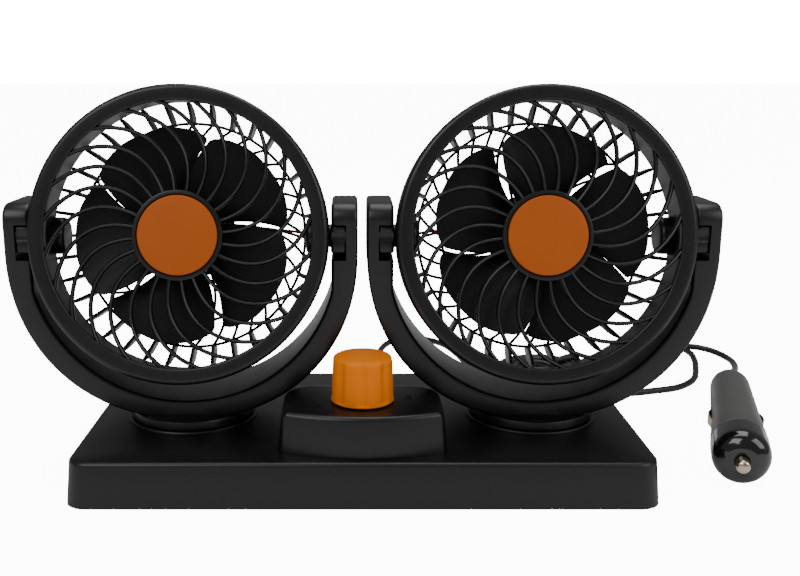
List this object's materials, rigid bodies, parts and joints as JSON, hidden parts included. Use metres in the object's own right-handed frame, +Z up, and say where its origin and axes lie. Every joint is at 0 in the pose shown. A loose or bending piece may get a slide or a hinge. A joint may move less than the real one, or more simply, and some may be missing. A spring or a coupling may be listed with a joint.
{
  "type": "dual head car fan",
  "caption": "Dashboard fan with two caged heads that swivel and tilt in U-shaped yokes on a base with a speed knob, a cord and a 12 V plug.",
  "frame": {"origin": "centre of the object's footprint without the cord, on the surface it stands on", "axes": "+X to the object's right seen from the front, the fans blow towards -Y, +Z up"},
  "size_m": [0.3299, 0.226, 0.1481],
  "materials": {
    "black_plastic": "satin",
    "dark_plastic": "fine texture",
    "gloss_black": "gloss",
    "orange_plastic": "satin",
    "steel": "satin",
    "nickel_brass": "polished",
    "rubber": "matte",
    "cord_sheath": "satin",
    "red_wire": "satin"
  },
  "bodies": {
    "base": {"base_shell": "black_plastic", "base_plate": "dark_plastic", "speed_switch": "dark_plastic", "switch_nut": "steel", "cord_bush": "rubber", "cord_lead": "cord_sheath", "cord_coil": "cord_sheath", "cord_tail": "cord_sheath", "cord_tie": "dark_plastic", "plug_nose": "gloss_black", "plug_body": "dark_plastic", "foot_front_left": "rubber", "foot_front_right": "rubber", "foot_back_left": "rubber", "foot_back_right": "rubber", "base_screw_1": "steel", "base_screw_2": "steel", "base_screw_3": "steel", "base_screw_4": "steel"},
    "knob_body": {"knob": "orange_plastic", "switch_shaft": "steel"},
    "left_yoke_body": {"left_yoke": "black_plastic", "left_swivel_washer": "steel", "left_swivel_screw": "steel"},
    "left_head": {"left_front_grille": "black_plastic", "left_hub_cap": "orange_plastic", "left_rear_cover": "black_plastic", "left_motor": "steel", "left_motor_lead": "red_wire"},
    "left_rotor": {"left_impeller": "black_plastic", "left_motor_shaft": "steel"},
    "right_yoke_body": {"right_yoke": "black_plastic", "right_swivel_washer": "steel", "right_swivel_screw": "steel"},
    "right_head": {"right_front_grille": "black_plastic", "right_hub_cap": "orange_plastic", "right_rear_cover": "black_plastic", "right_motor": "steel", "right_motor_lead": "red_wire"},
    "right_rotor": {"right_impeller": "black_plastic", "right_motor_shaft": "steel"},
    "plug_pin_body": {"plug_pin": "nickel_brass", "plug_fuse": "steel"},
    "plug_contact_left_body": {"plug_contact_left": "nickel_brass"},
    "plug_contact_right_body": {"plug_contact_right": "nickel_brass"}
  },
  "joints": [
    {"name": "left_swivel", "type": "hinge", "parent": "base", "child": "left_yoke_body", "pos_m": [-0.0678, 0, 0.09019], "axis": [0, 0, 1], "range_deg": [-170, 170]},
    {"name": "left_tilt", "type": "hinge", "parent": "left_yoke_body", "child": "left_head", "pos_m": [-0.0678, 0, 0.09019], "axis": [-1, 0, 0], "range_deg": [-69.8, 70.2]},
    {"name": "left_spin", "type": "hinge", "parent": "left_head", "child": "left_rotor", "pos_m": [-0.0678, 0, 0.09019], "axis": [0, -0.9854, 0.1702], "continuous": true},
    {"name": "right_swivel", "type": "hinge", "parent": "base", "child": "right_yoke_body", "pos_m": [0.0678, 0, 0.09019], "axis": [0, 0, 1], "range_deg": [-170, 170]},
    {"name": "right_tilt", "type": "hinge", "parent": "right_yoke_body", "child": "right_head", "pos_m": [0.0678, 0, 0.09019], "axis": [-1, 0, 0], "range_deg": [-69.6, 70.4]},
    {"name": "right_spin", "type": "hinge", "parent": "right_head", "child": "right_rotor", "pos_m": [0.0678, 0, 0.09019], "axis": [0, -0.986, 0.1668], "continuous": true},
    {"name": "knob_turn", "type": "hinge", "parent": "base", "child": "knob_body", "pos_m": [0, -0.0293, 0.0336], "axis": [0, 0, -1], "range_deg": [0, 120]},
    {"name": "plug_pin_press", "type": "slide", "parent": "base", "child": "plug_pin_body", "axis": [0.3022, 0.9526, 0.0349], "range_m": [0, 0.003], "stiffness_N_per_m": 800},
    {"name": "plug_contact_left_press", "type": "slide", "parent": "base", "child": "plug_contact_left_body", "axis": [0.9532, -0.3024, 0], "range_m": [0, 0.0015], "stiffness_N_per_m": 800},
    {"name": "plug_contact_right_press", "type": "slide", "parent": "base", "child": "plug_contact_right_body", "axis": [-0.9532, 0.3024, 0], "range_m": [0, 0.0015], "stiffness_N_per_m": 800}
  ]
}
